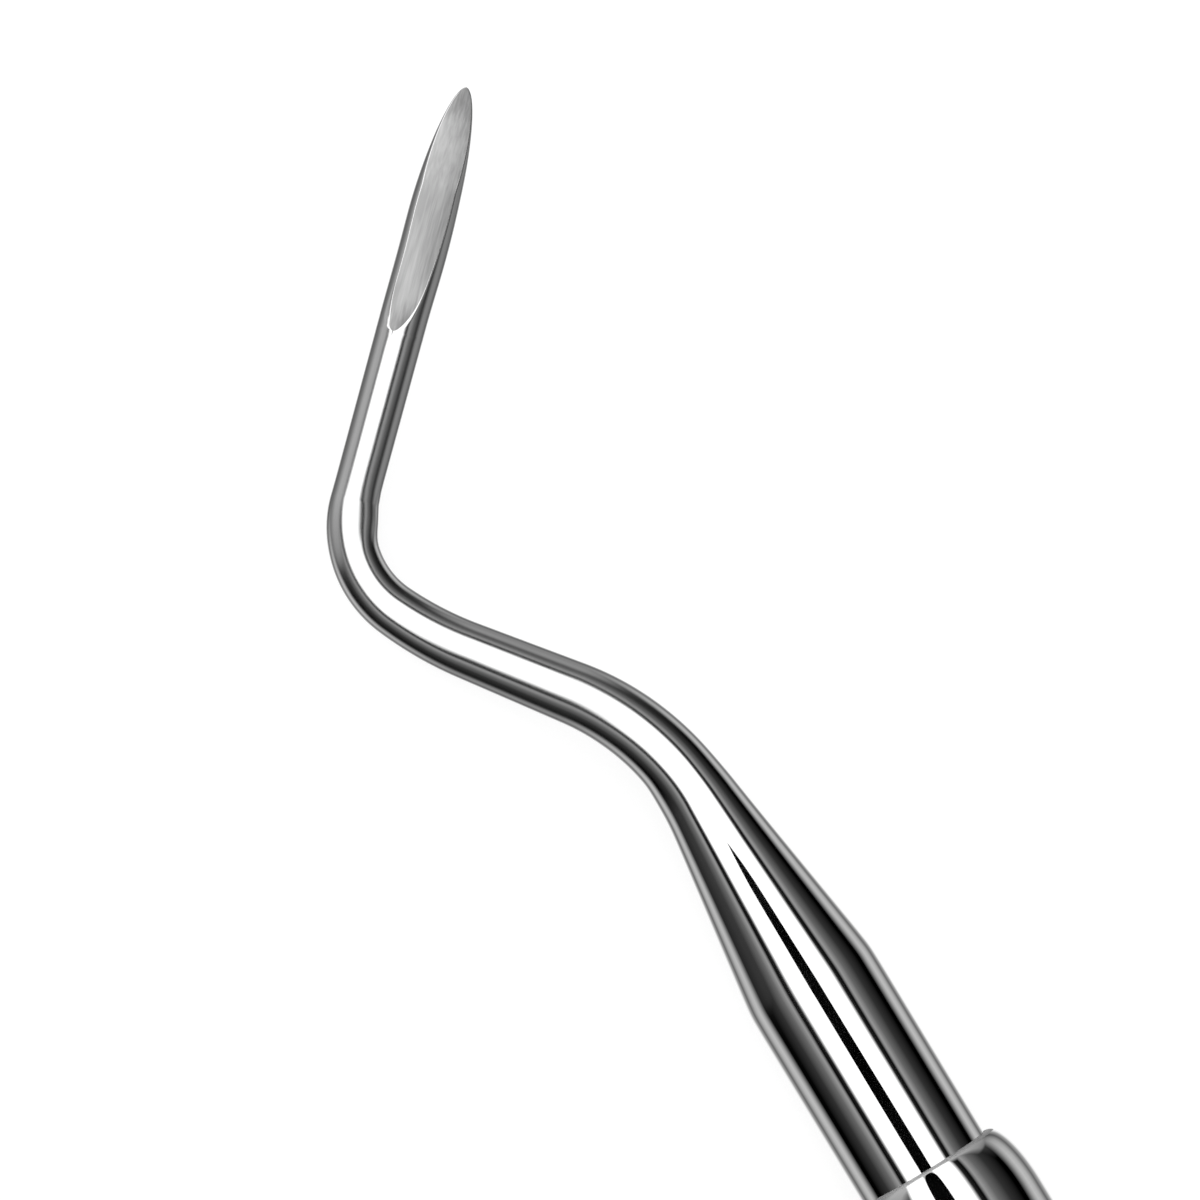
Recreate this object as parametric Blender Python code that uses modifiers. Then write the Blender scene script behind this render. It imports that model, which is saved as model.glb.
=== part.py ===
"""Root tip pick: an angled dental hand instrument, in metres, +Z up.

A forged working end carries a pointed blade with one flat ground face on a double-bent,
tapering shank. Its round neck is pressed into a hollow tubular handle, which a turned plug
closes at the far end.

The instrument is modelled along its own X axis: the handle's mouth is at X = 0, the blade lies
towards +X, both bends lie in the XY plane, and the ground face looks to +Z. An empty then rolls
it about that axis until it lies on its handle and on the knee of its shank.
"""
import bmesh
import bpy
import numpy as np
from math import asin, ceil, cos, pi, radians, sin, sqrt, tan
from mathutils import Matrix, Vector

# Handle
HANDLE_DIAMETER = 0.0095
HANDLE_WALL = 0.00113
HANDLE_LENGTH = 0.103
SHOULDER_LENGTH = 0.0035
MOUTH_LAND = 0.0001
REAR_CHAMFER = 0.0002
FIT_CLEARANCE = 0.0001

# Neck and the cone in front of it
NECK_LENGTH = 0.01095
TANG_LENGTH = 0.014
TANG_CHAMFER = 0.0004
CONE_ANGLE = radians(8.4)
CONE_BLEND = 0.00035

# Centreline of the shank, from the handle's mouth to the tip
ROOT_STRAIGHT = 0.0214
FIRST_BEND_RADIUS = 0.0133
FIRST_BEND_ANGLE = radians(36.8)
ARM_STRAIGHT = 0.0057
EASE_BEND_RADIUS = 0.0179
EASE_BEND_ANGLE = radians(13.4)
KNEE_RADIUS = 0.0052
KNEE_ANGLE = radians(69.8)
BLADE_STRAIGHT = 0.0213

# Diameters along the shank
ARM_ROOT_DIAMETER = 0.00364
SHANK_TIP_DIAMETER = 0.0024
BLADE_DIAMETER = 0.00246
NOSE_LENGTH = 0.0072
NOSE_FULLNESS = 0.55
TIP_RADIUS = 0.0001

# Ground face of the blade, in distances back from the tip
TIP_FACE_HEIGHT = 0.00003
TIP_FACET_LENGTH = 0.0046
TIP_FACET_ANGLE = radians(8.8)
FLAT_ANGLE = radians(1.2)
WHEEL_START = 0.0090
WHEEL_RADIUS = 0.020
LEAN_START = 0.0040
LEAN_END = 0.0125
HEEL_LEAN = radians(16.5)
LEAN_GROWTH = 2.0

# End plug
PLUG_SPIGOT_LENGTH = 0.008
PLUG_SPIGOT_CHAMFER = 0.0004
PLUG_HEAD_LENGTH = 0.004
PLUG_EDGE_RADIUS = 0.0015
PLUG_SEAT_GAP = 0.0001

# Fineness of the faceted surfaces
SHANK_SIDES = 40
RING_SPACING = 0.0012
RING_TURN = radians(5)
NOSE_RINGS = 14
TURNED_STEPS = 64
ROUNDING_POINTS = 7
FACE_ROWS = 26
SHARP_ANGLE = radians(28)
WELD_DISTANCE = 0.0000001

BORE_RADIUS = HANDLE_DIAMETER / 2 - HANDLE_WALL
NECK_DIAMETER = 2 * (BORE_RADIUS - FIT_CLEARANCE)

# Each stretch of the centreline: its length and the angle it turns, positive to the knee's side
STRETCHES = (
    (ROOT_STRAIGHT, 0.0),
    (FIRST_BEND_RADIUS * FIRST_BEND_ANGLE, FIRST_BEND_ANGLE),
    (ARM_STRAIGHT, 0.0),
    (EASE_BEND_RADIUS * EASE_BEND_ANGLE, -EASE_BEND_ANGLE),
    (KNEE_RADIUS * KNEE_ANGLE, -KNEE_ANGLE),
    (BLADE_STRAIGHT, 0.0),
)
TIP_DISTANCE = sum(length for length, turn in STRETCHES)


def new_collection(name):
    """A collection of that name under the scene."""
    collection = bpy.data.collections.new(name)
    bpy.context.scene.collection.children.link(collection)
    return collection


def steel(name, shade, roughness):
    """A metal Principled BSDF of one grey shade."""
    material = bpy.data.materials.new(name)
    material.use_nodes = True
    shader = material.node_tree.nodes["Principled BSDF"]
    shader.inputs["Base Color"].default_value = (shade, shade, shade, 1)
    shader.inputs["Metallic"].default_value = 1
    shader.inputs["Roughness"].default_value = roughness
    return material


def place(obj, collection, parent):
    """Put an object in its collection and under the empty that carries the instrument."""
    collection.objects.link(obj)
    obj.parent = parent


def along(distance):
    """Place and heading of the centreline at a distance from the handle's mouth.

    Inside a stretch the heading turns evenly, so the chord from its start has the mean heading
    and the length of an arc's chord. Distances before the mouth run straight back along X.
    """
    place_x, place_y, heading, left = 0.0, 0.0, 0.0, distance
    for length, turn in STRETCHES:
        run = min(left, length)
        turned = turn * run / length
        chord = run if turned == 0 else run * sin(turned / 2) / (turned / 2)
        place_x += chord * cos(heading + turned / 2)
        place_y += chord * sin(heading + turned / 2)
        heading += turned
        left -= run
        if left <= 0:
            break
    return Vector((place_x, place_y, 0)), heading


def diameter(distance):
    """Diameter of the working end at a distance from the handle's mouth.

    The cone and the tapered shank run into each other through a smooth maximum, and the neck
    is the largest diameter. The nose is an ellipse-like curve over the last few millimetres.
    """
    if distance <= NECK_LENGTH:
        return NECK_DIAMETER
    cone = NECK_DIAMETER - 2 * tan(CONE_ANGLE) * (distance - NECK_LENGTH)
    straight_start = TIP_DISTANCE - BLADE_STRAIGHT
    nose_start = TIP_DISTANCE - NOSE_LENGTH
    taper = float(np.interp(
        distance,
        (ROOT_STRAIGHT, straight_start, nose_start),
        (ARM_ROOT_DIAMETER, SHANK_TIP_DIAMETER, BLADE_DIAMETER)))
    size = (cone + taper + sqrt((cone - taper) ** 2 + CONE_BLEND ** 2)) / 2
    if distance > nose_start:
        share = (distance - nose_start) / NOSE_LENGTH
        size = size * max(1 - share ** 2, 0) ** NOSE_FULLNESS
    return min(size, NECK_DIAMETER)


def ring_distances():
    """Distances of the rings: close together in the bends and on the nose, wider elsewhere."""
    rings = [-TANG_LENGTH, -TANG_LENGTH + TANG_CHAMFER, NECK_LENGTH]
    nose_start = TIP_DISTANCE - NOSE_LENGTH
    start = 0.0
    for length, turn in STRETCHES:
        first = max(start, NECK_LENGTH)
        last = min(start + length, nose_start)
        if last > first:
            steps = max(ceil((last - first) / RING_SPACING), ceil(abs(turn) / RING_TURN))
            rings.extend(first + (last - first) * step / steps for step in range(1, steps + 1))
        start += length
    blade_tip_share = (2 * TIP_RADIUS / BLADE_DIAMETER) ** (1 / NOSE_FULLNESS)
    last_angle = asin(sqrt(1 - blade_tip_share))
    for step in range(1, NOSE_RINGS + 1):
        rings.append(nose_start + NOSE_LENGTH * sin(last_angle * step / NOSE_RINGS))
    return rings


def working_end_blank(material):
    """The forged and turned blank: a bevelled curve whose radius changes along its length."""
    neck_radius = NECK_DIAMETER / 2
    curve = bpy.data.curves.new("working_end_blank", "CURVE")
    curve.dimensions = "3D"
    curve.bevel_depth = neck_radius
    curve.bevel_resolution = (SHANK_SIDES - 4) // 2
    curve.use_fill_caps = True
    rings = ring_distances()
    spline = curve.splines.new("POLY")
    spline.points.add(len(rings) - 1)
    for point, distance in zip(spline.points, rings):
        centre, heading = along(distance) if distance > 0 else (Vector((distance, 0, 0)), 0)
        radius = diameter(distance) / 2
        if distance == rings[0]:
            radius -= TANG_CHAMFER
        point.co = (*centre, 1)
        point.radius = radius / neck_radius
    curve.materials.append(material)
    return bpy.data.objects.new("working_end_blank", curve)


def as_mesh(name, source):
    """Turn a curve object, or an object with modifiers, into a welded mesh object."""
    bpy.context.view_layer.update()
    evaluated = source.evaluated_get(bpy.context.evaluated_depsgraph_get())
    mesh = bpy.data.meshes.new_from_object(evaluated)
    mesh.name = name
    work = bmesh.new()
    work.from_mesh(mesh)
    bmesh.ops.remove_doubles(work, verts=work.verts, dist=WELD_DISTANCE)
    bmesh.ops.recalc_face_normals(work, faces=work.faces)
    work.to_mesh(mesh)
    work.free()
    mesh.shade_smooth()
    mesh.set_sharp_from_angle(angle=SHARP_ANGLE)
    result = bpy.data.objects.new(name, mesh)
    result.matrix_world = source.matrix_world
    bpy.data.objects.remove(source)
    return result


def face_height(back):
    """Height of the ground face over the blade's axis, at a distance back from the tip.

    A short facet rises from the tip. Behind it the face is almost parallel to the blade, and
    rises at last on the radius of the grinding wheel, until it runs out of the steel.
    """
    facet = min(back, TIP_FACET_LENGTH) * tan(TIP_FACET_ANGLE)
    flat = max(back - TIP_FACET_LENGTH, 0) * tan(FLAT_ANGLE)
    heel = max(back - WHEEL_START, 0) ** 2 / (2 * WHEEL_RADIUS)
    return TIP_FACE_HEIGHT + facet + flat + heel


def face_lean(back):
    """Sideways lean of the ground face: none near the tip, growing towards the heel."""
    share = min(max((back - LEAN_START) / (LEAN_END - LEAN_START), 0), 1)
    return HEEL_LEAN * share ** LEAN_GROWTH


def face_cutter(material):
    """The steel that the wheel takes off, as a solid over the ground face.

    A grid is bent to the face and extruded upwards. Its own X runs back from the tip and its
    own Y to the side away from the knee.
    """
    margin = BLADE_DIAMETER / 2
    clear_height = 1.3 * BLADE_DIAMETER / 2
    room = max(clear_height - face_height(WHEEL_START), margin / 10)
    end = WHEEL_START + sqrt(2 * WHEEL_RADIUS * room)
    backs = {-margin, 0.0, round(TIP_FACET_LENGTH, 6)}
    for row in range(FACE_ROWS):
        backs.add(round(LEAN_START + (end - LEAN_START) * row / (FACE_ROWS - 1), 6))
    backs = sorted(backs)

    work = bmesh.new()
    bmesh.ops.create_grid(work, x_segments=len(backs) - 1, y_segments=1, size=1)
    for vertex in work.verts:
        row = round((vertex.co.x + 1) / 2 * (len(backs) - 1))
        back = backs[row]
        side = vertex.co.y * BLADE_DIAMETER
        vertex.co = (back, side, face_height(back) + side * tan(face_lean(back)))
    bmesh.ops.triangulate(work, faces=work.faces)
    extruded = bmesh.ops.extrude_face_region(work, geom=work.faces)
    for item in extruded["geom"]:
        if isinstance(item, bmesh.types.BMVert):
            item.co.z += 2 * BLADE_DIAMETER
    bmesh.ops.triangulate(work, faces=work.faces)
    bmesh.ops.recalc_face_normals(work, faces=work.faces)
    mesh = bpy.data.meshes.new("face_cutter")
    work.to_mesh(mesh)
    work.free()
    mesh.materials.append(material)
    cutter = bpy.data.objects.new("face_cutter", mesh)
    tip, heading = along(TIP_DISTANCE)
    cutter.matrix_world = Matrix.Translation(tip) @ Matrix.Rotation(heading + pi, 4, "Z")
    cutter.hide_render = True
    cutter.display_type = "WIRE"
    return cutter


def rounding(radius_from, height_from, radius_to, height_to):
    """Points of a quarter ellipse that leaves its start squarely and arrives along the axis."""
    points = []
    for step in range(ROUNDING_POINTS + 1):
        angle = pi / 2 * step / ROUNDING_POINTS
        points.append((radius_from + (radius_to - radius_from) * sin(angle),
                       height_to + (height_from - height_to) * cos(angle)))
    return points


def turned(name, profile, closed, material):
    """A turned piece: a profile of radius and height, screwed round the local Z axis."""
    mesh = bpy.data.meshes.new(name)
    count = len(profile)
    edges = [(i, i + 1) for i in range(count - 1)]
    if closed:
        edges.append((count - 1, 0))
    mesh.from_pydata([(radius, 0, height) for radius, height in profile], edges, [])
    mesh.materials.append(material)
    obj = bpy.data.objects.new(name, mesh)
    screw = obj.modifiers.new("turning", "SCREW")
    screw.axis = "Z"
    screw.steps = TURNED_STEPS
    screw.render_steps = TURNED_STEPS
    screw.use_merge_vertices = True
    screw.merge_threshold = WELD_DISTANCE
    screw.use_smooth_shade = True
    return obj


def handle_profile():
    """The tube's wall, from the mouth down the outside and back up the bore."""
    outer = HANDLE_DIAMETER / 2
    land = min(BORE_RADIUS + MOUTH_LAND, outer)
    bottom = -HANDLE_LENGTH
    return [
        (BORE_RADIUS, 0),
        *rounding(land, 0, outer, -SHOULDER_LENGTH),
        (outer, bottom + REAR_CHAMFER),
        (outer - REAR_CHAMFER, bottom),
        (BORE_RADIUS, bottom),
    ]


def plug_profile():
    """The plug, from the inner end of its spigot over the head to the centre of its flat end."""
    spigot = BORE_RADIUS - FIT_CLEARANCE
    head = HANDLE_DIAMETER / 2
    seat = -HANDLE_LENGTH - PLUG_SEAT_GAP
    bottom = seat - PLUG_HEAD_LENGTH
    rounded_edge = rounding(head - PLUG_EDGE_RADIUS, bottom, head, bottom + PLUG_EDGE_RADIUS)
    return [
        (0, seat + PLUG_SPIGOT_LENGTH),
        (spigot - PLUG_SPIGOT_CHAMFER, seat + PLUG_SPIGOT_LENGTH),
        (spigot, seat + PLUG_SPIGOT_LENGTH - PLUG_SPIGOT_CHAMFER),
        (spigot, seat),
        (head - REAR_CHAMFER, seat),
        (head, seat - REAR_CHAMFER),
        *reversed(rounded_edge),
        (0, bottom),
    ]


def rest_roll():
    """Roll about the handle's axis that brings the knee down to the level of the handle."""
    distances = np.linspace(0, TIP_DISTANCE, 400)
    offsets = [along(distance)[0].y for distance in distances]
    knee = int(np.argmax(offsets))
    drop = HANDLE_DIAMETER / 2 - diameter(distances[knee]) / 2
    return -asin(drop / offsets[knee])


def seat_on_ground(carrier, pieces):
    """Move the carrier so that the instrument's box stands centred on the origin."""
    bpy.context.view_layer.update()
    graph = bpy.context.evaluated_depsgraph_get()
    corners = []
    for piece in pieces:
        evaluated = piece.evaluated_get(graph)
        points = np.empty(3 * len(evaluated.data.vertices), np.float32)
        evaluated.data.vertices.foreach_get("co", points)
        turn = np.array(piece.matrix_world)
        points = points.reshape(-1, 3) @ turn[:3, :3].T + turn[:3, 3]
        corners += [points.min(axis=0), points.max(axis=0)]
    low, high = np.min(corners, axis=0), np.max(corners, axis=0)
    carrier.location = (-(low[0] + high[0]) / 2, -(low[1] + high[1]) / 2, -low[2])


for old in list(bpy.data.objects):
    bpy.data.objects.remove(old, do_unlink=True)

instrument = new_collection("root_tip_pick")
cutters = new_collection("cutters")

polished = steel("polished_stainless", 0.82, 0.06)
ground = steel("ground_stainless", 0.66, 0.34)
tube_steel = steel("polished_stainless_tube", 0.82, 0.07)
plug_steel = steel("turned_stainless", 0.80, 0.10)

carrier = bpy.data.objects.new("instrument_axis", None)
instrument.objects.link(carrier)

# Working end: the blank is made a mesh, then the face is ground
blank = working_end_blank(polished)
instrument.objects.link(blank)
cutter = face_cutter(ground)
cutters.objects.link(cutter)
body = as_mesh("working_end_body", blank)
instrument.objects.link(body)
grinding = body.modifiers.new("grinding", "BOOLEAN")
grinding.operation = "DIFFERENCE"
grinding.solver = "EXACT"
grinding.material_mode = "TRANSFER"
grinding.object = cutter
working_end = as_mesh("working_end", body)
place(working_end, instrument, carrier)

# Handle and plug are turned about their own Z, which then points along X
handle = turned("handle", handle_profile(), True, tube_steel)
end_plug = turned("end_plug", plug_profile(), False, plug_steel)
for piece in (handle, end_plug):
    piece.rotation_euler = (0, pi / 2, 0)
    place(piece, instrument, carrier)

carrier.rotation_euler = (rest_roll(), 0, 0)
seat_on_ground(carrier, (working_end, handle, end_plug))
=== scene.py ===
import bmesh
import bpy
import numpy as np
from mathutils import Matrix, Vector


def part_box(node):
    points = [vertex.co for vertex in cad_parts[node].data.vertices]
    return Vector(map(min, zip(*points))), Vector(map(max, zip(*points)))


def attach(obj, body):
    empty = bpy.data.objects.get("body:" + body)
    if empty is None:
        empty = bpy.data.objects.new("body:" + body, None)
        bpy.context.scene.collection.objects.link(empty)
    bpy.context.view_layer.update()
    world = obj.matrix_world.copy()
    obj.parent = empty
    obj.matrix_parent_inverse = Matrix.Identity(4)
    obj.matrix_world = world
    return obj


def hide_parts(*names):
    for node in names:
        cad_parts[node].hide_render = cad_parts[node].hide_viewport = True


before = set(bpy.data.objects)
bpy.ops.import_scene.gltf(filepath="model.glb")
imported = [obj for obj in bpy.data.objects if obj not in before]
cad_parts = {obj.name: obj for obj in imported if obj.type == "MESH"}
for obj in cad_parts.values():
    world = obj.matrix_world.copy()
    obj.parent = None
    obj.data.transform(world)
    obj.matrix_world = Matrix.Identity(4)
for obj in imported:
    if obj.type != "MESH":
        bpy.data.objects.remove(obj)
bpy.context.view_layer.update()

# Working end. One forging of stainless steel: round neck, conical shoulder, a shank bent twice
# and a pointed blade. It is turned and polished to a mirror, then a grinding wheel takes the
# flat, satin face off the blade. The neck's tang is pressed into the handle.
MM = 0.001
HANDLE_RADIUS = 4.75 * MM
NECK_RADIUS = 3.52 * MM
NECK_LENGTH = 10.95 * MM
TANG_LENGTH = 14.0 * MM
TANG_CHAMFER = 0.4 * MM
CONE_SLOPE = np.tan(np.radians(8.4))
CONE_START_ROUND = 0.06 * MM
CONE_END_ROUND = 0.175 * MM
SHANK_RADIUS = 1.82 * MM
BLADE_ROOT_RADIUS = 1.2 * MM
BLADE_RADIUS = 1.23 * MM
ROOT_STRAIGHT = 21.4 * MM
ARM_STRAIGHT = 5.7 * MM
BLADE_STRAIGHT = 21.3 * MM
FIRST_BEND, FIRST_BEND_RADIUS = np.radians(36.8), 13.3 * MM
EASE_BEND, EASE_BEND_RADIUS = np.radians(13.4), 17.9 * MM
KNEE_BEND, KNEE_BEND_RADIUS = np.radians(69.8), 5.2 * MM
# Each stretch of the centreline: its length, and the angle it turns towards the knee's side
STRETCHES = (
    (ROOT_STRAIGHT, 0.0),
    (FIRST_BEND_RADIUS * FIRST_BEND, FIRST_BEND),
    (ARM_STRAIGHT, 0.0),
    (EASE_BEND_RADIUS * EASE_BEND, -EASE_BEND),
    (KNEE_BEND_RADIUS * KNEE_BEND, -KNEE_BEND),
    (BLADE_STRAIGHT, 0.0),
)
TIP = sum(length for length, turn in STRETCHES)
NOSE_LENGTH = 7.2 * MM
NOSE_FULLNESS = 0.55
# The ground face, by the way back from the tip
TIP_FACE_HEIGHT = 0.03 * MM
TIP_FACET_LENGTH = 5.2 * MM
TIP_FACET_SLOPE = np.tan(np.radians(8.42))
FLAT_SLOPE = np.tan(np.radians(1.73))
WHEEL_START, WHEEL_RADIUS = 10.4 * MM, 11.0 * MM
LEAN_START, LEAN_END = 7.0 * MM, 12.5 * MM
HEEL_LEAN = np.radians(16.5)
LEAN_GROWTH = 2.2
# Width of the face's rounded edges: from the tip, and at the heel on either side, with the most
# that each may take of the face's half width
EDGE_WIDTH = 0.07 * MM
EDGE_GROWTH_START, EDGE_GROWTH_END = 10.4 * MM, 12.0 * MM
KNEE_HEEL_EDGE_WIDTH, KNEE_EDGE_SHARE = 0.26 * MM, 0.5
OTHER_HEEL_EDGE_WIDTH, OTHER_EDGE_SHARE = 0.12 * MM, 0.4
FACE_CROWN = 0.07
# Columns of one ring: of its body, of each rounded edge, and of the face. The face's columns are
# even up to the first share of its half width, and one more stands at the second.
BODY_COLUMNS, EDGE_COLUMNS, FACE_COLUMNS = 112, 6, 15
FACE_MIDDLE, FACE_BORDER = 0.92, 0.97
# Columns of each rounded edge that are satin, next to the face
SATIN_EDGE_COLUMNS = 2
# How far close rings reach either side of the neck's end, and from the heel towards the tip, and
# how far before the heel the even ones stop
NECK_END_REACH, HEEL_REACH, HEEL_LEAD = 0.4 * MM, 3.2 * MM, 0.3 * MM
# Where the bending and grinding by hand left the shank off true: distance from the mouth, reach
# either way, and how far the knee's side and the other side stand out
HAND_MARKS = (
    (22.5 * MM, 1.8 * MM, 0.07 * MM, -0.02 * MM),
    (45.2 * MM, 1.9 * MM, 0.02 * MM, 0.15 * MM),
    (58.8 * MM, 3.5 * MM, -0.025 * MM, 0.055 * MM),
)


def centreline(distances):
    """Places and headings at distances from the handle's mouth.

    The heading turns evenly inside a stretch, so the chord from its start has the mean heading
    and an arc's chord length, and the chords of the stretches add up.
    """
    places = np.stack([np.minimum(distances, 0), np.zeros_like(distances)], axis=1)
    headings = np.zeros_like(distances)
    start = 0.0
    for length, turn in STRETCHES:
        run = np.clip(distances - start, 0, length)
        turned = turn * run / length
        chord = run * np.sinc(turned / (2 * np.pi))
        middle = headings + turned / 2
        places += chord[:, None] * np.stack([np.cos(middle), np.sin(middle)], axis=1)
        headings += turned
        start += length
    return places, headings


def shank_radius(distances):
    """Radius at distances from the handle's mouth.

    A smooth minimum of neck and cone, then a smooth maximum of that and the shank's taper. The
    nose multiplies it by (1 - share squared) to the power of its fullness.
    """
    cone = NECK_RADIUS - CONE_SLOPE * (distances - NECK_LENGTH)
    turned = (NECK_RADIUS + cone - np.hypot(NECK_RADIUS - cone, CONE_START_ROUND)) / 2
    taper = np.interp(distances, (ROOT_STRAIGHT, TIP - BLADE_STRAIGHT, TIP - NOSE_LENGTH),
                      (SHANK_RADIUS, BLADE_ROOT_RADIUS, BLADE_RADIUS))
    radius = (turned + taper + np.hypot(turned - taper, CONE_END_ROUND)) / 2
    radius = np.where(distances < NECK_LENGTH / 2, NECK_RADIUS, np.minimum(radius, NECK_RADIUS))
    share = np.clip((distances - TIP + NOSE_LENGTH) / NOSE_LENGTH, 0, 1)
    return radius * (1 - share ** 2) ** NOSE_FULLNESS


def face_over_axis(distances):
    """Distance of the ground face from the axis, and its sideways lean.

    Two slopes follow each other from the tip. Towards the heel the height also grows with the
    square of the way back over twice the wheel's radius, and the lean with a power of its share.
    The distance is the height times the cosine of the lean.
    """
    back = TIP - distances
    facet = TIP_FACE_HEIGHT + np.minimum(back, TIP_FACET_LENGTH) * TIP_FACET_SLOPE
    flat = np.maximum(back - TIP_FACET_LENGTH, 0) * FLAT_SLOPE
    height = facet + flat + np.maximum(back - WHEEL_START, 0) ** 2 / (2 * WHEEL_RADIUS)
    lean = HEEL_LEAN * np.clip((back - LEAN_START) / (LEAN_END - LEAN_START), 0, 1) ** LEAN_GROWTH
    return height * np.cos(lean), lean


def working_end_rows():
    """Distances of the rings, even in each stretch and closer in the bends. From the heel of the
    ground face they follow the square of an even share, and on the nose the sine of an even
    angle."""
    ends = np.cumsum([length for length, turn in STRETCHES])
    nose_start = TIP - NOSE_LENGTH
    fine = np.linspace(ends[4], nose_start, 4000)
    heel = fine[np.argmax(face_over_axis(fine)[0] < shank_radius(fine))]
    # Start, end and number of rings
    even = (
        (0, NECK_LENGTH - NECK_END_REACH, 18),
        (NECK_LENGTH - NECK_END_REACH, NECK_LENGTH + NECK_END_REACH, 25),
        (NECK_LENGTH + NECK_END_REACH, ends[0], 42),
        (ends[0], ends[1], 60),
        (ends[1], ends[2], 16),
        (ends[2], ends[3], 26),
        (ends[3], ends[4], 72),
        (ends[4], heel - HEEL_LEAD, 14),
        (heel + HEEL_REACH, nose_start, 46),
    )
    return np.unique(np.concatenate([
        [TANG_CHAMFER - TANG_LENGTH, -1 * MM],
        *[np.linspace(*stretch) for stretch in even],
        heel + np.linspace(0, 1, 46) ** 2 * HEEL_REACH,
        TIP - NOSE_LENGTH * (1 - np.sin(np.linspace(0, np.pi / 2, 76))),
    ]).round(9))


def ring_outlines(distances):
    """Closed outline of each ring: places across it, and up along the ground face's normal.

    The round body goes from one edge of the face round the back to the other. A quadratic curve
    rounds each edge, and is widest on the knee's side of the heel. The face is a chord, crowned
    by one minus the square of its share. Where nothing is ground off, edges and face shrink to
    one point of the circle. A hand mark moves points outwards by the square of their share
    sideways and a squared cosine along the shank.
    """
    radius = np.maximum(shank_radius(distances), 1e-6 * MM)
    face_distance, lean = face_over_axis(distances)
    half = np.arccos(np.clip(face_distance / radius, -1, 1))
    half_chord = radius * np.sin(half)
    knee_edge, other_edge = [
        np.minimum(share * half_chord, np.interp(
            TIP - distances, (EDGE_GROWTH_START, EDGE_GROWTH_END), (EDGE_WIDTH, heel_width)))
        for heel_width, share in ((KNEE_HEEL_EDGE_WIDTH, KNEE_EDGE_SHARE),
                                  (OTHER_HEEL_EDGE_WIDTH, OTHER_EDGE_SHARE))]

    first, last = half + knee_edge / radius, 2 * np.pi - half - other_edge / radius
    angle = first[:, None] + (last - first)[:, None] * np.linspace(0, 1, BODY_COLUMNS)
    body = radius[:, None, None] * np.stack([np.sin(angle), np.cos(angle)], axis=2)
    chord_end = np.stack([half_chord, radius * np.cos(half)], axis=1)
    t = np.linspace(0, 1, EDGE_COLUMNS + 2)[1:-1][None, :, None]
    curves = []
    for side, edge, body_end in ((1, knee_edge, body[:, :1]), (-1, other_edge, body[:, -1:])):
        corner = (chord_end * np.array([side, 1]))[:, None]
        face_end = corner - np.stack([side * edge, np.zeros_like(edge)], axis=1)[:, None]
        curves.append((1 - t) ** 2 * face_end + 2 * t * (1 - t) * corner + t ** 2 * body_end)
    across = np.concatenate([
        [-1, -FACE_BORDER], np.linspace(-FACE_MIDDLE, FACE_MIDDLE, FACE_COLUMNS - 4),
        [FACE_BORDER, 1]])
    middle, wide = (other_edge - knee_edge) / 2, half_chord - (other_edge + knee_edge) / 2
    face = np.stack([
        middle[:, None] + wide[:, None] * across,
        chord_end[:, 1:] + FACE_CROWN * half_chord[:, None] * (1 - across ** 2)], axis=2)
    outlines = np.concatenate([body, curves[1][:, ::-1], face, curves[0]], axis=1)

    sideways = outlines[:, :, 0] / radius[:, None]
    for place, reach, knee_side, other_side in HAND_MARKS:
        fade = np.cos(np.clip((distances - place) / reach, -1, 1) * np.pi / 2)[:, None] ** 2
        outlines[:, :, 0] += fade * (knee_side * np.maximum(sideways, 0) ** 2
                                     - other_side * np.minimum(sideways, 0) ** 2)
    return outlines


def working_end_grid(distances):
    """Points of the working end in the instrument's own frame, and the same points straightened.

    Each outline stands square to the centreline and leans with the ground face. A point is the
    ring's centre, plus its place across times the leaning sideways direction, plus its place up
    times the face's normal. Straightened, it keeps the ring's distance and its place sideways
    and up.
    """
    places, headings = centreline(distances)
    lean = face_over_axis(distances)[1][:, None]
    outlines = ring_outlines(distances)
    across, over = outlines[:, :, :1], outlines[:, :, 1:]
    side = np.stack([-np.sin(headings), np.cos(headings), np.zeros_like(headings)], axis=1)
    up = np.array([0.0, 0.0, 1.0])
    along_chord = np.cos(lean) * side - np.sin(lean) * up
    normal = np.cos(lean) * up + np.sin(lean) * side
    centre = np.concatenate([places, np.zeros((len(places), 1))], axis=1)
    points = centre[:, None] + across * along_chord[:, None] + over * normal[:, None]
    straight = np.stack([
        np.broadcast_to(distances[:, None], outlines.shape[:2]),
        across[:, :, 0] * np.cos(lean) + over[:, :, 0] * np.sin(lean),
        over[:, :, 0] * np.cos(lean) - across[:, :, 0] * np.sin(lean)], axis=2)
    return points, straight


def to_row_frame():
    """Matrix from the instrument's own frame to the row frame.

    The roll brings the knee down to the level of the handle: its sine is the difference of the
    two radii over the knee's offset. The mouth's centre is taken from the handle's box.
    """
    distances = np.linspace(0, TIP, 400)
    offsets = centreline(distances)[0][:, 1]
    knee = int(np.argmax(offsets))
    roll = -np.arcsin((HANDLE_RADIUS - shank_radius(distances)[knee]) / offsets[knee])
    low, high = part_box("handle")
    mouth = Vector((high.x, (low.y + high.y) / 2, (low.z + high.z) / 2))
    return Matrix.Translation(mouth) @ Matrix.Rotation(roll, 4, "X")


INSTRUMENT = to_row_frame()
MERGE_DISTANCE = 1e-4 * MM


def grid_faces(rows, columns, wrap_rows=False):
    """Quads of a grid whose columns close into rings, as corner indices."""
    row = np.arange(rows if wrap_rows else rows - 1)[:, None]
    column = np.arange(columns)[None, :]
    next_row, next_column = (row + 1) % rows, (column + 1) % columns
    return np.stack([row * columns + column, row * columns + next_column,
                     next_row * columns + next_column, next_row * columns + column],
                    axis=2).reshape(-1, 4)


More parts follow.
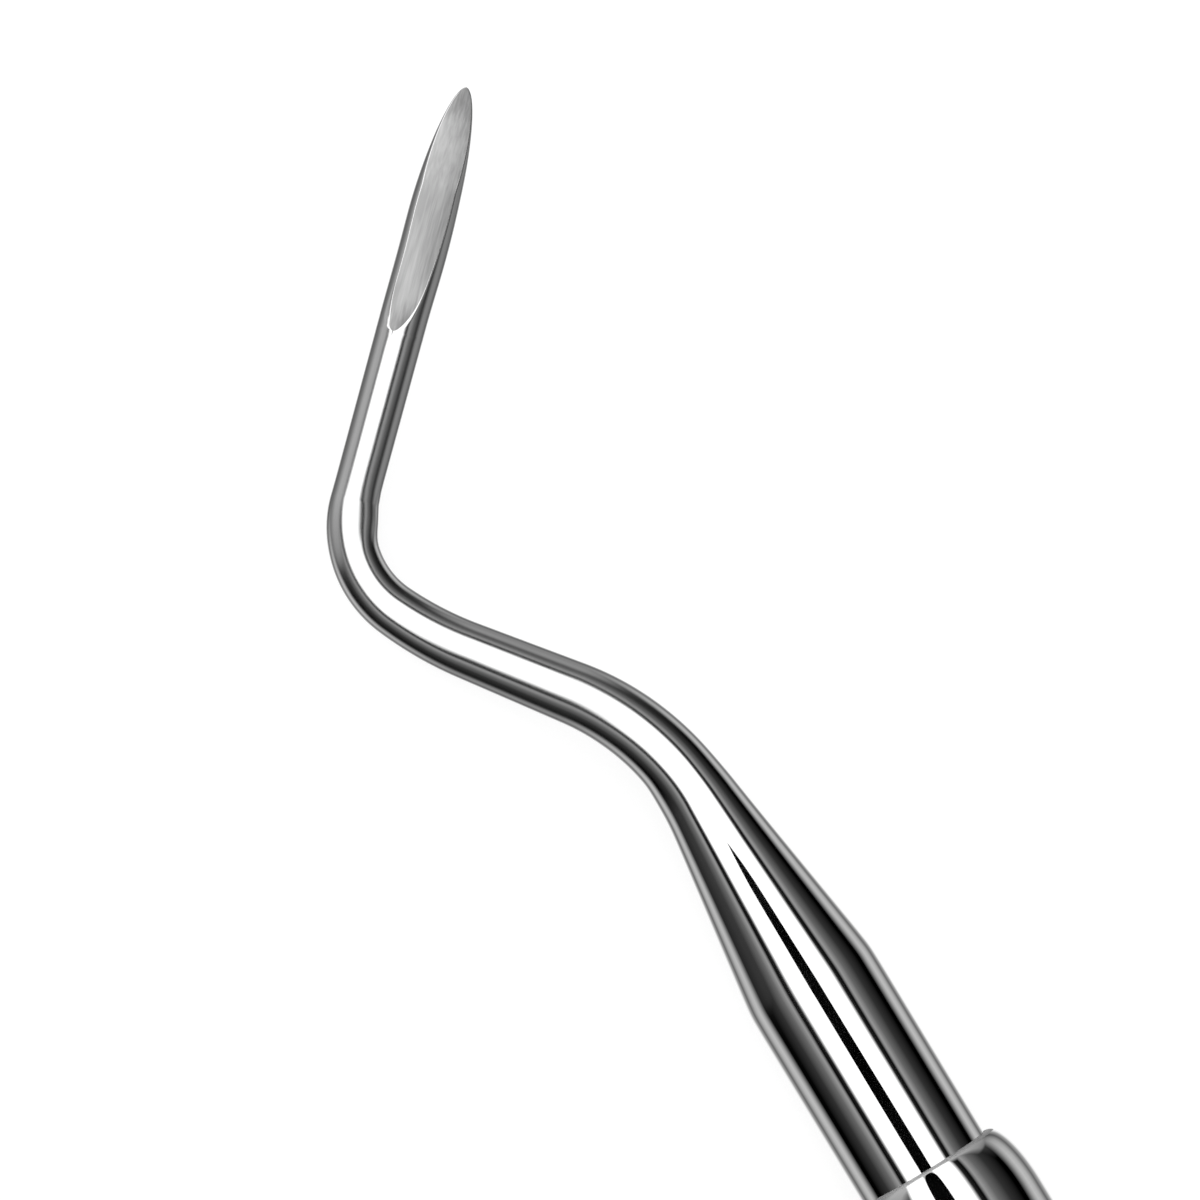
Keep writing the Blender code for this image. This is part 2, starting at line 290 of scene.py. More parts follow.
def finished_piece(name, points, faces, straight, materials, sharp, material_places=None):
    """A mesh object in the row frame, merged where its points meet, with faces turned outwards.

    The attribute place_mm holds each point's place along and across the straightened piece, in
    millimetres, for the patterns that follow the steel. Edges over the angle sharp, in degrees,
    stay sharp. material_places gives each face's place in materials.
    """
    mesh = bpy.data.meshes.new(name)
    mesh.from_pydata(points.reshape(-1, 3), [], faces)
    place = mesh.attributes.new("place_mm", "FLOAT_VECTOR", "POINT")
    place.data.foreach_set("vector", (straight.reshape(-1, 3) / MM).astype(np.float32).ravel())
    for material in materials:
        mesh.materials.append(material)
    if material_places is not None:
        mesh.polygons.foreach_set("material_index", material_places.astype(np.int32))
    work = bmesh.new()
    work.from_mesh(mesh)
    bmesh.ops.remove_doubles(work, verts=work.verts, dist=MERGE_DISTANCE)
    bmesh.ops.recalc_face_normals(work, faces=work.faces)
    bmesh.ops.transform(work, matrix=INSTRUMENT, verts=work.verts)
    work.to_mesh(mesh)
    work.free()
    mesh.shade_smooth()
    mesh.set_sharp_from_angle(angle=np.radians(sharp))
    piece = bpy.data.objects.new(name, mesh)
    bpy.context.scene.collection.objects.link(piece)
    return piece


def linear(colour):
    """An sRGB hex colour as linear RGBA: c / 12.92 up to 0.04045, ((c + 0.055) / 1.055) ^ 2.4
    above."""
    c = np.array([int(colour[i:i + 2], 16) for i in (1, 3, 5)]) / 255
    return (*np.where(c <= 0.04045, c / 12.92, ((c + 0.055) / 1.055) ** 2.4), 1.0)


def add(tree, kind, inputs=(), **settings):
    """Add a node with its settings. inputs pairs a socket with a value, with the output that
    feeds it, or with the node whose first output feeds it."""
    made = tree.nodes.new(kind)
    for name, value in settings.items():
        setattr(made, name, value)
    for socket, value in dict(inputs).items():
        if isinstance(value, bpy.types.Node):
            value = value.outputs[0]
        if isinstance(value, bpy.types.NodeSocket):
            tree.links.new(value, made.inputs[socket])
        else:
            made.inputs[socket].default_value = value
    return made


def new_steel(name):
    """A new material, its node tree, and its output for the place on the straightened piece."""
    material = bpy.data.materials.new(name)
    material.use_nodes = True
    tree = material.node_tree
    place = add(tree, "ShaderNodeAttribute", attribute_name="place_mm").outputs["Vector"]
    return material, tree, place


def finish_steel(tree, colour, roughness, normal):
    """Make the shader bare metal, and link its colour, roughness and normal."""
    steel = tree.nodes["Principled BSDF"]
    steel.inputs["Metallic"].default_value = 1.0
    for name, output in (("Base Color", colour), ("Roughness", roughness), ("Normal", normal)):
        tree.links.new(output, steel.inputs[name])


# Mirror polish, as the buffing wheel leaves it. The eye sees hard-edged reflections whose
# outlines waver slightly, faint buffing lines and a few dull smudges. Real buffing lines are
# finer, and are drawn wide enough to show. Widths and lengths are in millimetres.
BUFFING_WIDTH, BUFFING_LENGTH = 0.12, 3.0
BUFFING_HEIGHT = 0.00012 * MM
RIPPLE_WIDTH, RIPPLE_HEIGHT = 2.2, 0.004 * MM
SMUDGE_WIDTH = 5.0
CLEAR_ROUGHNESS, SMUDGE_ROUGHNESS = 0.03, 0.07


def mirror_polish(tree, place, line_size):
    """Colour, roughness and normal of a mirror polish. line_size is the size of a buffing line
    along the three axes of place."""
    line_place = add(tree, "ShaderNodeMapping", {
        "Vector": place, "Scale": [1 / size for size in line_size]})
    lines = add(tree, "ShaderNodeTexNoise", {"Vector": line_place, "Scale": 1.0, "Detail": 2.0})
    ripple = add(tree, "ShaderNodeTexNoise", {
        "Vector": place, "Scale": 1 / RIPPLE_WIDTH, "Detail": 1.0})
    smudges = add(tree, "ShaderNodeTexNoise", {
        "Vector": place, "Scale": 1 / SMUDGE_WIDTH, "Detail": 3.0})
    colour = add(tree, "ShaderNodeMix", {
        0: lines, 6: linear("#D9D9D9"), 7: linear("#E0E0E0")}, data_type="RGBA")
    roughness = add(tree, "ShaderNodeMapRange", {
        "Value": smudges, "From Min": 0.35, "From Max": 0.75,
        "To Min": CLEAR_ROUGHNESS, "To Max": SMUDGE_ROUGHNESS})
    rippled = add(tree, "ShaderNodeBump", {"Height": ripple, "Distance": RIPPLE_HEIGHT})
    buffed = add(tree, "ShaderNodeBump", {
        "Height": lines, "Distance": BUFFING_HEIGHT, "Normal": rippled})
    return colour.outputs[2], roughness.outputs[0], buffed.outputs[0]


# The working end's mirror-polished stainless steel, buffed lengthwise. The shank beyond the cone
# was buffed by hand, so the eye sees duller reflections there than on the neck.
HAND_BUFFED_START, HAND_BUFFED_END, HAND_BUFFED_DULLING = 17.0, 27.0, 0.11


def mirror_polished_stainless():
    """The polish, with a roughness that grows evenly from the cone's end into the first bend."""
    material, tree, place = new_steel("mirror_polished_stainless_steel")
    colour, roughness, normal = mirror_polish(
        tree, place, (BUFFING_LENGTH, BUFFING_WIDTH, BUFFING_WIDTH))
    from_mouth = add(tree, "ShaderNodeSeparateXYZ", {0: place}).outputs[0]
    hand_buffed = add(tree, "ShaderNodeMapRange", {
        "Value": from_mouth, "From Min": HAND_BUFFED_START, "From Max": HAND_BUFFED_END,
        "To Max": HAND_BUFFED_DULLING})
    duller = add(tree, "ShaderNodeMath", {0: roughness, 1: hand_buffed}, operation="ADD")
    finish_steel(tree, colour, duller.outputs[0], normal)
    return material


# Stainless steel as the grinding wheel leaves it: a silky, light grey face without images in
# it, with soft streaks along the blade where the wheel's grit ran. Real grit lines are finer,
# and are drawn wide enough to show. Widths, lengths and places are in millimetres.
GRIT_WIDTH, GRIT_LENGTH = 0.10, 2.222
GRIT_HEIGHT = 0.0015 * MM
CLOUD_WIDTH, CLOUD_LENGTH, CLOUD_SHARE = 1.0625, 4.25, 0.65
STREAK_CONTRAST = 0.6
# Painted light: the face is painted lighter towards the knee's side, a painted sheen for how the
# light falls across it
PAINTED_LIGHT_REACH, LEAST_PAINTED_LIGHT, MOST_PAINTED_LIGHT = 0.9, 0.1, 0.5
# Painted shade: the thin tip is painted darker, and so is the heel's other side
PAINTED_TIP_SHADE_START, PAINTED_TIP_SHADE_END, PAINTED_TIP_SHADE = 1.9, 0.7, 0.45
PAINTED_HEEL_SHADE_START, PAINTED_HEEL_SHADE_END, PAINTED_HEEL_SHADE_EDGE, PAINTED_HEEL_SHADE = 11.0, 12.3, 0.3, 0.6
EVEN_ROUGHNESS, CLOUDED_ROUGHNESS = 0.42, 0.50


def wheel_ground_stainless():
    """Grit and wide clouds make the streaks. Painted light towards the knee's side adds to them,
    and painted shade at the tip and on the heel's other side takes it away."""
    material, tree, place = new_steel("wheel_ground_stainless_steel")
    grit_place = add(tree, "ShaderNodeMapping", {
        "Vector": place, "Scale": (1 / GRIT_LENGTH, 1 / GRIT_WIDTH, 1 / GRIT_WIDTH)})
    grit = add(tree, "ShaderNodeTexNoise", {"Vector": grit_place, "Scale": 1.0, "Detail": 3.0})
    cloud_place = add(tree, "ShaderNodeMapping", {
        "Vector": place, "Scale": (1 / CLOUD_LENGTH, 1 / CLOUD_WIDTH, 1 / CLOUD_WIDTH)})
    clouds = add(tree, "ShaderNodeTexNoise", {"Vector": cloud_place, "Scale": 1.0, "Detail": 2.0})
    mixed = add(tree, "ShaderNodeMix", {0: CLOUD_SHARE, 2: grit, 3: clouds}, data_type="FLOAT")
    streaks = add(tree, "ShaderNodeMapRange", {
        "Value": mixed, "From Min": 0.38, "From Max": 0.62, "To Max": STREAK_CONTRAST})
    from_mouth, to_knee_side = add(tree, "ShaderNodeSeparateXYZ", {0: place}).outputs[:2]
    # Painted light: lighter towards the knee's side
    painted_light_on_knee_side = add(tree, "ShaderNodeMapRange", {
        "Value": to_knee_side, "From Min": -PAINTED_LIGHT_REACH, "From Max": PAINTED_LIGHT_REACH,
        "To Min": LEAST_PAINTED_LIGHT, "To Max": MOST_PAINTED_LIGHT})
    # Painted shade: darker towards the tip
    painted_tip_shade = add(tree, "ShaderNodeMapRange", {
        "Value": from_mouth, "From Min": TIP / MM - PAINTED_TIP_SHADE_START,
        "From Max": TIP / MM - PAINTED_TIP_SHADE_END, "To Max": PAINTED_TIP_SHADE})
    # Painted shade: darker on the heel's other side, growing towards the heel
    painted_heel_shade_depth = add(tree, "ShaderNodeMapRange", {
        "Value": from_mouth, "From Min": TIP / MM - PAINTED_HEEL_SHADE_START, "From Max": TIP / MM - PAINTED_HEEL_SHADE_END,
        "To Max": PAINTED_HEEL_SHADE})
    painted_heel_shade = add(tree, "ShaderNodeMapRange", {
        "Value": to_knee_side, "From Min": PAINTED_HEEL_SHADE_EDGE, "From Max": 0.0, "To Max": painted_heel_shade_depth})
    # light is the streaks plus the painted light, and dark is the painted shade of the tip and
    # the heel
    light = add(tree, "ShaderNodeMath", {0: streaks, 1: painted_light_on_knee_side}, operation="ADD")
    dark = add(tree, "ShaderNodeMath", {0: painted_tip_shade, 1: painted_heel_shade}, operation="ADD")
    left = add(tree, "ShaderNodeMath", {0: light, 1: dark}, operation="SUBTRACT", use_clamp=True)
    colour = add(tree, "ShaderNodeMix", {
        0: left, 6: linear("#808080"), 7: linear("#BBBBBB")}, data_type="RGBA")
    roughness = add(tree, "ShaderNodeMapRange", {
        "Value": clouds, "From Min": 0.3, "From Max": 0.7,
        "To Min": EVEN_ROUGHNESS, "To Max": CLOUDED_ROUGHNESS})
    scratched = add(tree, "ShaderNodeBump", {"Height": grit, "Distance": GRIT_HEIGHT})
    finish_steel(tree, colour.outputs[2], roughness.outputs[0], scratched.outputs[0])
    return material


points, straight = working_end_grid(working_end_rows())
# The tang's end: a chamfer and a disc that closes on the axis
end = points[0] * np.array([0, 1, 1]) - np.array([TANG_LENGTH, 0, 0])
chamfered = end * np.array([1, 1 - TANG_CHAMFER / NECK_RADIUS, 1 - TANG_CHAMFER / NECK_RADIUS])
points = np.concatenate([[end * np.array([1, 0, 0]), chamfered], points])
straight = np.concatenate([points[:2], straight])
columns = points.shape[1]
column = np.tile(np.arange(columns), len(points) - 1)
# The satin reaches over the part of each rounded edge that is next to the face
mirror_edge = EDGE_COLUMNS - SATIN_EDGE_COLUMNS
on_face = (column >= BODY_COLUMNS + mirror_edge) & (column < columns - mirror_edge - 1)
working_end = finished_piece(
    "pick_working_end", points, grid_faces(len(points), columns), straight,
    (mirror_polished_stainless(), wheel_ground_stainless()), sharp=40, material_places=on_face)
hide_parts("working_end")
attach(working_end, "root")

# Handle. A drawn stainless steel tube that the neck is pressed into. Its mouth is rounded over
# to a narrow land round the neck, its far end is chamfered, and its outside is polished.
HANDLE_LENGTH = 103.0 * MM
MOUTH_LAND_RADIUS = 3.72 * MM
SHOULDER_LENGTH = 3.5 * MM
FIRST_PLAIN_RING = 8.0 * MM
PRESS_FIT_GAP = 0.005 * MM
REAR_CHAMFER = 0.2 * MM
TURNED_COLUMNS = 192
TURNED_SHARP = 28


def turned_grid(profile):
    """Points of a turned piece: the profile's places along X and radii carried round X."""
    angle = np.linspace(0, 2 * np.pi, TURNED_COLUMNS, endpoint=False)
    along, radius = profile[:, :1], profile[:, 1:]
    return np.stack([np.broadcast_to(along, (len(profile), TURNED_COLUMNS)),
                     radius * np.cos(angle), radius * np.sin(angle)], axis=2)


def handle_profile():
    """Place along X and radius of the tube's wall, from the mouth over the outside to the bore.

    The shoulder is a quarter ellipse: the radius follows the sine of its angle, and the place
    along the axis the cosine. The angle grows with the power 1.5 of an even one, so the points
    lie closer towards the mouth.
    """
    bore = NECK_RADIUS + PRESS_FIT_GAP
    angle = np.linspace(0, np.pi / 2, 64) ** 1.5 / (np.pi / 2) ** 0.5
    shoulder = np.stack([
        SHOULDER_LENGTH * (np.cos(angle) - 1),
        MOUTH_LAND_RADIUS + (HANDLE_RADIUS - MOUTH_LAND_RADIUS) * np.sin(angle)], axis=1)
    plain = [(-x, HANDLE_RADIUS) for x in np.linspace(
        FIRST_PLAIN_RING, HANDLE_LENGTH - REAR_CHAMFER, 12)]
    return np.concatenate([
        [(0, bore)], shoulder, plain,
        [(-HANDLE_LENGTH, HANDLE_RADIUS - REAR_CHAMFER), (-HANDLE_LENGTH, bore)]])


# The tube's mirror-polished stainless steel. It was spun against the buff, so the lines run round
# it. The buff doesn't reach the mouth's very edge, which the eye sees as a grey satin hairline.
# Widths are in millimetres.
SATIN_EDGE_WIDTH, SATIN_EDGE_FADE, SATIN_ROUGHNESS = 0.11, 0.04, 0.55


def buffed_tube_stainless():
    """The polish, mixed with satin over the last of the way to the mouth."""
    material, tree, place = new_steel("buffed_stainless_steel_tube")
    colour, roughness, normal = mirror_polish(
        tree, place, (BUFFING_WIDTH, BUFFING_LENGTH, BUFFING_LENGTH))
    from_mouth = add(tree, "ShaderNodeSeparateXYZ", {0: place}).outputs[0]
    edge = add(tree, "ShaderNodeMapRange", {
        "Value": from_mouth, "From Min": -SATIN_EDGE_WIDTH - SATIN_EDGE_FADE,
        "From Max": -SATIN_EDGE_WIDTH})
    edge_colour = add(tree, "ShaderNodeMix", {
        0: edge, 6: colour, 7: linear("#C8C8C8")}, data_type="RGBA")
    edge_roughness = add(tree, "ShaderNodeMix", {
        0: edge, 2: roughness, 3: SATIN_ROUGHNESS}, data_type="FLOAT")
    finish_steel(tree, edge_colour.outputs[2], edge_roughness.outputs[0], normal)
    return material


points = turned_grid(handle_profile())
handle = finished_piece("pick_handle", points, grid_faces(len(points), TURNED_COLUMNS, True),
                        points, (buffed_tube_stainless(),), TURNED_SHARP)
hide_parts("handle")
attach(handle, "root")

# End plug. A turned stainless steel plug, pressed into the tube's far end by its spigot. Its
# head is as wide as the tube and rounded over to a flat end.
PLUG_SPIGOT_LENGTH = 8.0 * MM
PLUG_SPIGOT_CHAMFER = 0.4 * MM
PLUG_HEAD_LENGTH = 4.0 * MM
PLUG_EDGE_RADIUS = 1.5 * MM
PLUG_INNER_RING = 3.0 * MM
PLUG_SEAT_GAP = 0.1 * MM


def plug_profile():
    """Place along X and radius of the plug, from the axis at the spigot's end over the head's
    rounded edge, a quarter circle, to the axis at the flat end."""
    seat = -HANDLE_LENGTH - PLUG_SEAT_GAP
    bottom = seat - PLUG_HEAD_LENGTH
    angle = np.linspace(np.pi / 2, 0, 24)
    edge = np.stack([
        bottom + PLUG_EDGE_RADIUS * (1 - np.cos(angle)),
        HANDLE_RADIUS - PLUG_EDGE_RADIUS * (1 - np.sin(angle))], axis=1)
    return np.concatenate([
        [(seat + PLUG_SPIGOT_LENGTH, 0),
         (seat + PLUG_SPIGOT_LENGTH, NECK_RADIUS - PLUG_SPIGOT_CHAMFER),
         (seat + PLUG_SPIGOT_LENGTH - PLUG_SPIGOT_CHAMFER, NECK_RADIUS),
         (seat, NECK_RADIUS),
         (seat, HANDLE_RADIUS - REAR_CHAMFER),
         (seat - REAR_CHAMFER, HANDLE_RADIUS)],
        edge,
        [(bottom, radius) for radius in np.linspace(PLUG_INNER_RING, 0, 6)]])


# Stainless steel as the lathe leaves it, then buffed. The eye sees fine rings round the axis, and
# reflections a little softer than the tube's. Real rings are finer, and are drawn wide enough to
# show. Their width is in millimetres.
RING_WIDTH, RING_HEIGHT = 0.16, 0.0004 * MM
RING_LEAST_ROUGHNESS, RING_MOST_ROUGHNESS = 0.09, 0.17


def turned_stainless():
    """Noise over the place along the axis and the distance from it makes the rings."""
    material, tree, place = new_steel("turned_stainless_steel")
    along = add(tree, "ShaderNodeSeparateXYZ", {0: place}).outputs[0]
    from_axis = add(tree, "ShaderNodeVectorMath", {0: place, 1: (0.0, 1.0, 1.0)},
                    operation="MULTIPLY")
    radius = add(tree, "ShaderNodeVectorMath", {0: from_axis}, operation="LENGTH")
    ring_place = add(tree, "ShaderNodeCombineXYZ", {0: along, 1: radius.outputs["Value"]})
    rings = add(tree, "ShaderNodeTexNoise", {
        "Vector": ring_place, "Scale": 1 / RING_WIDTH, "Detail": 2.0})
    colour = add(tree, "ShaderNodeMix", {
        0: rings, 6: linear("#D1D1D1"), 7: linear("#DDDDDD")}, data_type="RGBA")
    roughness = add(tree, "ShaderNodeMapRange", {
        "Value": rings, "From Min": 0.3, "From Max": 0.7,
        "To Min": RING_LEAST_ROUGHNESS, "To Max": RING_MOST_ROUGHNESS})
    cut = add(tree, "ShaderNodeBump", {"Height": rings, "Distance": RING_HEIGHT})
    finish_steel(tree, colour.outputs[2], roughness.outputs[0], cut.outputs[0])
    return material


points = turned_grid(plug_profile())
plug = finished_piece("pick_end_plug", points, grid_faces(len(points), TURNED_COLUMNS),
                      points, (turned_stainless(),), TURNED_SHARP)
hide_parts("end_plug")
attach(plug, "root")

# Floor and flag. The instrument lies on a white table top. A narrow black flag over its neck and
# handle is seen only in the steel, where it shows as a dark line.
FLOOR_SIZE = 6.0
FLAG_HEIGHT = 6.0 * MM
FLAG_OFFSET = -0.17 * MM
# The flag's half width at distances from the handle's mouth towards the tip, in millimetres
FLAG_OUTLINE = ((-112.0, 0.72), (2.0, 0.7), (9.7, 0.63), (16.5, 0.63), (17.6, 0.6), (18.6, 0.45),
                (19.4, 0.25), (20.1, 0.0))
# Share of the table's own white in what the camera sees of it, and its strength
OWN_WHITE_SHARE, OWN_WHITE_STRENGTH = 0.68, 1.25


def stage_material(name):
    """A new material for the studio, and its empty node tree."""
    material = bpy.data.materials.new(name)
    material.use_nodes = True
    material.node_tree.nodes.clear()
    return material, material.node_tree


def white_laminate():
    """White laminate. To the camera it is mostly its own white, so that only a faint shadow is
    left on it."""
    material, tree = stage_material("white_laminate")
    matt = add(tree, "ShaderNodeBsdfDiffuse", {"Color": linear("#F4F4F4")})
    own = add(tree, "ShaderNodeEmission", {
        "Color": linear("#FFFFFF"), "Strength": OWN_WHITE_STRENGTH})
    from_camera = add(tree, "ShaderNodeLightPath").outputs["Is Camera Ray"]
    share = add(tree, "ShaderNodeMath", {0: from_camera, 1: OWN_WHITE_SHARE},
                operation="MULTIPLY")
    seen = add(tree, "ShaderNodeMixShader", {0: share, 1: matt, 2: own})
    add(tree, "ShaderNodeOutputMaterial", {"Surface": seen})
    return material


def black_velvet():
    """Black velvet, which gives almost nothing back."""
    material, tree = stage_material("black_velvet")
    pile = add(tree, "ShaderNodeBsdfDiffuse", {"Color": linear("#020202")})
    add(tree, "ShaderNodeOutputMaterial", {"Surface": pile})
    return material


def stage_piece(name, points, faces, material):
    """An object of the studio, from points in the row frame."""
    mesh = bpy.data.meshes.new(name)
    mesh.from_pydata(points, [], faces)
    mesh.materials.append(material)
    piece = bpy.data.objects.new(name, mesh)
    bpy.context.scene.collection.objects.link(piece)
    return piece


half = FLOOR_SIZE / 2
floor = stage_piece("table_top", [(-half, -half, 0), (half, -half, 0), (half, half, 0),
                                  (-half, half, 0)], [(0, 1, 2, 3)], white_laminate())
# The steel mirrors the studio's table in its place
floor.visible_glossy = False

outline = np.array(FLAG_OUTLINE) * MM
left = np.stack([outline[:, 0], FLAG_OFFSET + outline[:, 1],
                 np.full(len(outline), FLAG_HEIGHT)], axis=1)
right = left * np.array([1, -1, 1]) + np.array([0, 2 * FLAG_OFFSET, 0])
count = len(outline)
flag = stage_piece("black_flag", np.concatenate([left, right]),
                   [(i, i + 1, count + i + 1, count + i) for i in range(count - 1)],
                   black_velvet())
flag.data.transform(INSTRUMENT)
flag.visible_camera = False
flag.visible_diffuse = False
flag.visible_shadow = False
flag.visible_transmission = False
flag.visible_volume_scatter = False

# Studio light. One long softbox over the instrument, in line with the handle and reaching out
# over the tip, in a dark room with pale walls and a pale table. It is the world's light, lined up
# with the plane of the two bends, so its top is straight over that plane.
STUDIO_TURN = np.radians(2)
SOFTBOX_LEVEL = 1.6
SOFTBOX_HALF_WIDTH = np.radians(34.5)
# Where the softbox ends over the handle, and over the tip by the angle from the top
SOFTBOX_END, SOFTBOX_FRONT = np.radians(11), np.radians(88)
# Brightness beside the softbox, by the angle from its edge in degrees: its own soft edge, the
# black gap beside it, the dimly lit ceiling and the dark room
BESIDE_SOFTBOX = ((0, 1.6), (3, 0.5), (5, 0.02), (11, 0.0), (13.5, 0.25), (16, 0.42),
                  (25, 0.18), (40, 0.04), (60, 0.0))
# A second softbox goes on behind it over the handle. Its half width grows by this slope, and its
# soft edge is this wide, both as shares of a direction.
HANDLE_SOFTBOX_SLOPE, HANDLE_SOFTBOX_EDGE = 0.3, 0.03
# A black post beyond the tip hides the softbox: its half width, its top's angle from the top of
# the studio, and how fast its edges darken
POST_HALF_WIDTH, POST_TOP, POST_EDGE = np.radians(9), np.radians(58), 1.2
# Brightness of the table and of what stands on it, by the angle from the top in degrees
BELOW = ((101, 0.0), (106, 0.2), (112, 0.5), (118, 0.7), (126, 0.6), (139, 0.16), (152, 0.5),
         (160, 1.0), (180, 1.1))
# Brightness of the walls behind the handle and beyond the tip, by the share of a direction that
# points along the room, which is turned a little from the handle
ROOM_TURN = 0.15
WALLS = ((-0.75, 0.3), (-0.6, 0.15), (-0.5, 0.04), (-0.4, 0.0), (0.1, 0.0), (0.35, 0.05),
         (0.41, 0.27), (0.5, 0.37), (1.0, 0.6))
# Share of the walls' brightness by height, from straight down to straight up, and how much the
# height falls off across the room
WALL_HEIGHTS = ((-1.0, 0.35), (-0.7, 0.45), (-0.25, 1.0), (0.15, 1.0), (0.47, 0.0))
WALL_SLOPE = 0.35
MATH, VECTOR_MATH = "ShaderNodeMath", "ShaderNodeVectorMath"

world = bpy.data.worlds.new("studio")
bpy.context.scene.world = world
world.use_nodes = True
tree = world.node_tree
tree.nodes.clear()

# Shares of a direction that point along the handle, across it and to the top
direction = add(tree, "ShaderNodeTexCoord").outputs["Generated"]
axes = INSTRUMENT.to_3x3() @ Matrix.Rotation(STUDIO_TURN, 3, "X")
along, across, top = [
    add(tree, VECTOR_MATH, {0: direction, 1: axis}, operation="DOT_PRODUCT").outputs["Value"]
    for axis in axes.transposed()]
from_top = add(tree, MATH, {0: top}, operation="ARCCOSINE")
to_side = add(tree, MATH, {0: across}, operation="ABSOLUTE")

# Twice the lean of the steel that mirrors a direction to the top, seen along the handle
over_level = add(tree, MATH, {0: top, 1: 1.0}, operation="ADD")
steel_lean = add(tree, MATH, {0: to_side, 1: over_level}, operation="ARCTAN2")
sideways = add(tree, MATH, {0: steel_lean, 1: 2.0}, operation="MULTIPLY")

# Angle past the softbox: the length of the ways past its side and past its nearer end
over_side = add(tree, MATH, {0: sideways, 1: SOFTBOX_HALF_WIDTH}, operation="SUBTRACT")
past_side = add(tree, MATH, {0: over_side, 1: 0.0}, operation="MAXIMUM")
backwards = add(tree, MATH, {0: along, 1: -1.0}, operation="MULTIPLY")
back_angle = add(tree, MATH, {0: backwards}, operation="ARCSINE")
over_end = add(tree, MATH, {0: back_angle, 1: SOFTBOX_END}, operation="SUBTRACT")
over_front = add(tree, MATH, {0: from_top, 1: SOFTBOX_FRONT}, operation="SUBTRACT")
over_either = add(tree, MATH, {0: over_end, 1: over_front}, operation="MAXIMUM")
past_end = add(tree, MATH, {0: over_either, 1: 0.0}, operation="MAXIMUM")
past_both = add(tree, "ShaderNodeCombineXYZ", {0: past_side, 1: past_end})
past_edge = add(tree, VECTOR_MATH, {0: past_both}, operation="LENGTH").outputs["Value"]
in_post_width = add(tree, MATH, {0: POST_HALF_WIDTH, 1: sideways}, operation="SUBTRACT")
under_post_top = add(tree, MATH, {0: from_top, 1: POST_TOP}, operation="SUBTRACT")
in_post = add(tree, MATH, {0: in_post_width, 1: under_post_top}, operation="MINIMUM")
behind_post = add(tree, MATH, {0: in_post, 1: POST_EDGE}, operation="MULTIPLY")
past = add(tree, MATH, {0: past_edge, 1: behind_post}, operation="MAXIMUM")

past_degrees = add(tree, MATH, {0: past}, operation="DEGREES")
top_degrees = add(tree, MATH, {0: from_top}, operation="DEGREES")
along_room = add(tree, MATH, {0: across, 1: ROOM_TURN, 2: along}, operation="MULTIPLY_ADD")
height = add(tree, MATH, {0: across, 1: -WALL_SLOPE, 2: top}, operation="MULTIPLY_ADD")
# Each ramp is read straight between its stops, and holds their values as shares of the full one
ramps = []
for stops, low, high, full, source in (
        (BESIDE_SOFTBOX, 0, 180, SOFTBOX_LEVEL, past_degrees),
        (BELOW, 0, 180, SOFTBOX_LEVEL, top_degrees),
        (WALLS, -1, 1, SOFTBOX_LEVEL, along_room),
        (WALL_HEIGHTS, -1, 1, 1.0, height)):
    share = add(tree, "ShaderNodeMapRange", {"Value": source, "From Min": low, "From Max": high})
    ramps.append(add(tree, "ShaderNodeValToRGB", {0: share}))
    elements = ramps[-1].color_ramp.elements
    while len(elements) < len(stops):
        elements.new(1.0)
    for element, (place, value) in zip(elements, stops):
        element.position = (place - low) / (high - low)
        element.color = (*[value / full] * 3, 1)
beside, table, walls, wall_share = ramps

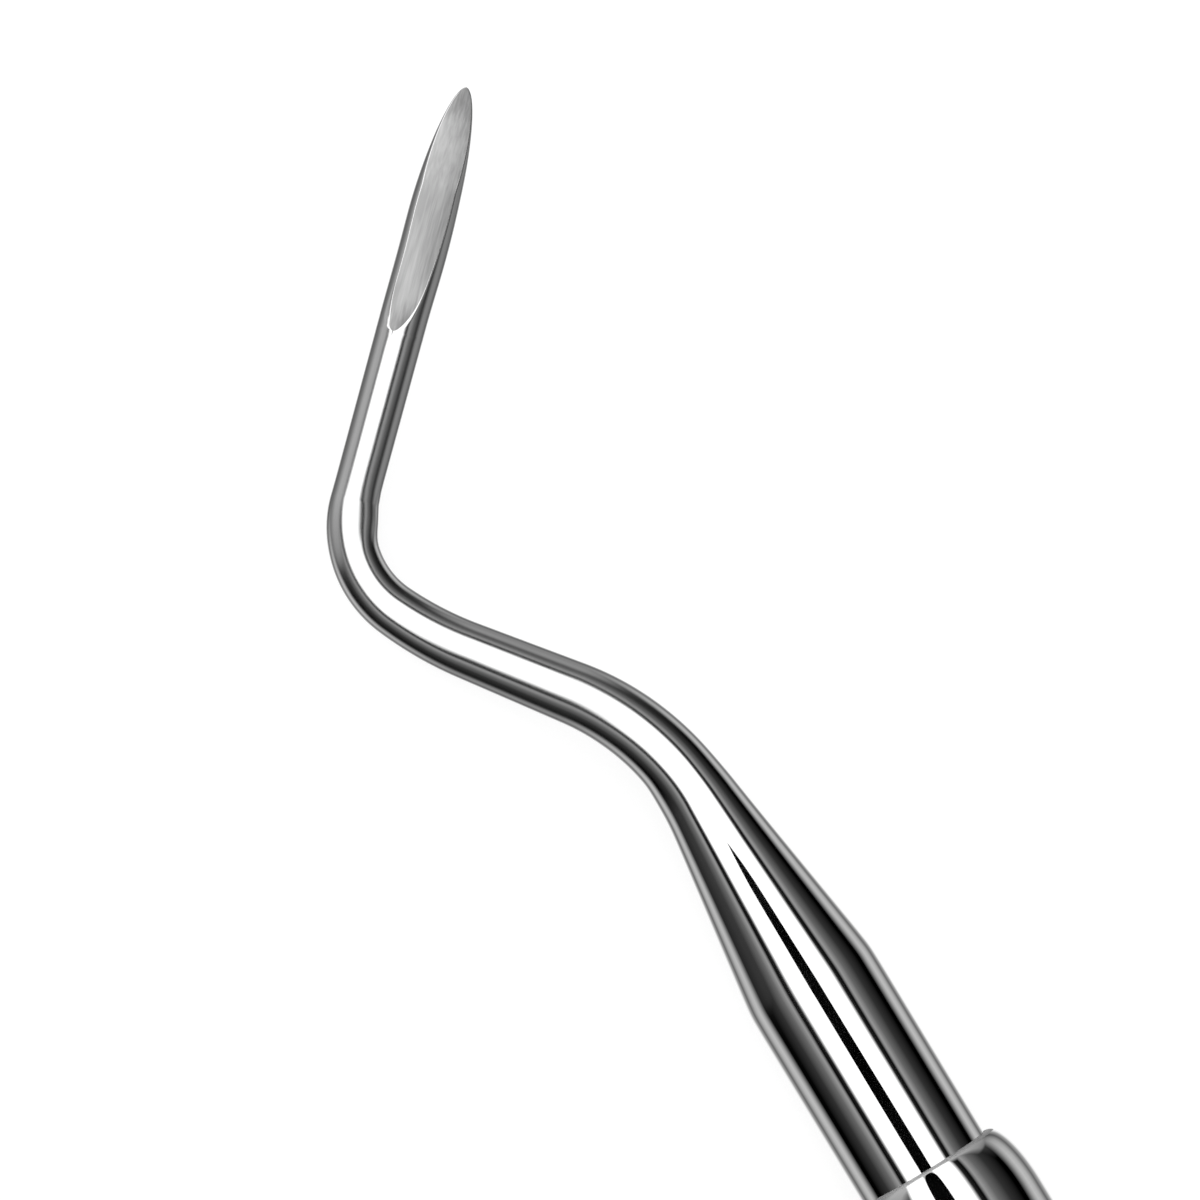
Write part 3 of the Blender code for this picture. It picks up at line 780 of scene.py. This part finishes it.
# The table fades out towards the two ends of the room, where the walls stand
along_squared = add(tree, MATH, {0: along, 1: along}, operation="MULTIPLY")
open_room = add(tree, MATH, {0: along_squared, 1: -2.0, 2: 1.0},
                operation="MULTIPLY_ADD", use_clamp=True)
below = add(tree, MATH, {0: table, 1: open_room}, operation="MULTIPLY")
lit_walls = add(tree, MATH, {0: walls, 1: wall_share}, operation="MULTIPLY")
widening = add(tree, MATH, {0: backwards, 1: HANDLE_SOFTBOX_SLOPE}, operation="MULTIPLY")
inside = add(tree, MATH, {0: widening, 1: to_side}, operation="SUBTRACT")
inside_and_above = add(tree, MATH, {0: inside, 1: top}, operation="MINIMUM")
over_handle = add(tree, "ShaderNodeMapRange", {
    "Value": inside_and_above, "From Max": HANDLE_SOFTBOX_EDGE})
brightest = beside
for other in (below, lit_walls, over_handle):
    brightest = add(tree, MATH, {0: brightest, 1: other}, operation="MAXIMUM")
studio = add(tree, MATH, {0: brightest, 1: SOFTBOX_LEVEL}, operation="MULTIPLY")

# Seen straight, past the table's edge, the studio is plain white
path = add(tree, "ShaderNodeLightPath").outputs
straight_through = add(tree, MATH, {0: path["Is Camera Ray"], 1: path["Is Transmission Ray"]},
                       operation="MAXIMUM")
seen = add(tree, "ShaderNodeMix", {0: straight_through, 2: studio, 3: 1.0}, data_type="FLOAT")
light = add(tree, "ShaderNodeBackground", {"Color": seen, "Strength": 1.0})
add(tree, "ShaderNodeOutputWorld", {"Surface": light})

# Camera. A long lens straight over the plane of the two bends, turned so that the handle leaves
# the picture at the lower right.
PICTURE_WIDTH = 60.0 * MM
LENS, SENSOR = 400.0, 36.0
# The picture's centre, from the handle's mouth towards the tip and towards the knee's side
PICTURE_CENTRE = Vector((32.682, -0.882, 0.0)) * MM
HANDLE_SLANT = np.radians(31.2)

camera_data = bpy.data.cameras.new("camera")
camera_data.lens = LENS
camera_data.sensor_width = SENSOR
camera = bpy.data.objects.new("camera", camera_data)
bpy.context.scene.collection.objects.link(camera)
right = Vector((-np.sin(HANDLE_SLANT), -np.cos(HANDLE_SLANT), 0))
up = Vector((np.cos(HANDLE_SLANT), -np.sin(HANDLE_SLANT), 0))
back = Vector((0, 0, 1))
stand = PICTURE_CENTRE + back * (PICTURE_WIDTH * LENS / SENSOR)
turned = Matrix((right, up, back)).transposed().to_4x4()
camera.matrix_world = INSTRUMENT @ Matrix.Translation(stand) @ turned
bpy.context.scene.camera = camera
bpy.context.scene.view_settings.view_transform = "Standard"
